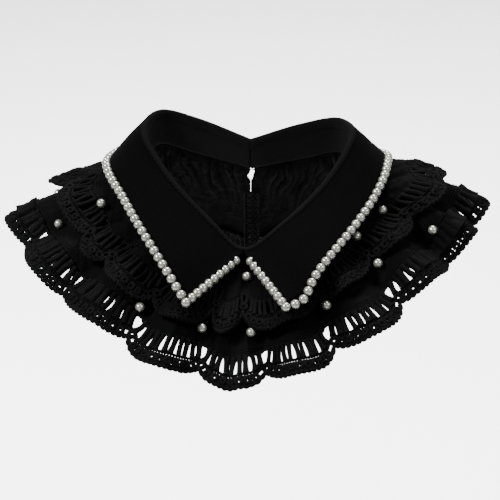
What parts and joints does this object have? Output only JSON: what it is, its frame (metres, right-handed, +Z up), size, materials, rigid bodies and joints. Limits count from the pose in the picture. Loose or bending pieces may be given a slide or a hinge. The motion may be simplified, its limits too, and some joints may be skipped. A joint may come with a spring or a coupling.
{
  "type": "lace collar",
  "caption": "Detachable pointed collar edged with pearls, over two gathered lace ruffles with scalloped hems, open at the centre back and held by a button and loop.",
  "frame": {"origin": "the middle of the neck opening at the level of the shoulders, where the collar is held on a neck", "axes": "+Z up along the neck, the centre front faces -Y, the wearer's left is +X"},
  "size_m": [0.3184, 0.2198, 0.123],
  "materials": {
    "black_poplin": "smooth black plain-weave cotton",
    "black_lace": "crinkled black cotton lace",
    "pearl": "ivory-white pearl lacquer",
    "black_button": "polished black"
  },
  "bodies": {
    "root": {"neck_stand": "black_poplin", "button_loop": "black_poplin", "collar_leaf_left": "black_poplin", "collar_leaf_right": "black_poplin", "back_button": "black_button", "pearl_row_left": "pearl", "pearl_row_right": "pearl", "lower_ruffle_left": "black_lace", "lower_ruffle_right": "black_lace", "upper_ruffle_left": "black_lace", "upper_ruffle_right": "black_lace", "loose_pearl_01": "pearl", "loose_pearl_02": "pearl", "loose_pearl_03": "pearl", "loose_pearl_04": "pearl", "loose_pearl_05": "pearl", "loose_pearl_06": "pearl", "loose_pearl_07": "pearl", "loose_pearl_08": "pearl", "loose_pearl_09": "pearl", "loose_pearl_10": "pearl", "loose_pearl_11": "pearl", "loose_pearl_12": "pearl", "loose_pearl_13": "pearl", "loose_pearl_14": "pearl", "loose_pearl_15": "pearl", "loose_pearl_16": "pearl", "loose_pearl_17": "pearl", "loose_pearl_18": "pearl", "loose_pearl_19": "pearl", "loose_pearl_20": "pearl", "loose_pearl_21": "pearl", "loose_pearl_22": "pearl", "loose_pearl_23": "pearl", "loose_pearl_24": "pearl", "loose_pearl_25": "pearl"}
  },
  "joints": []
}
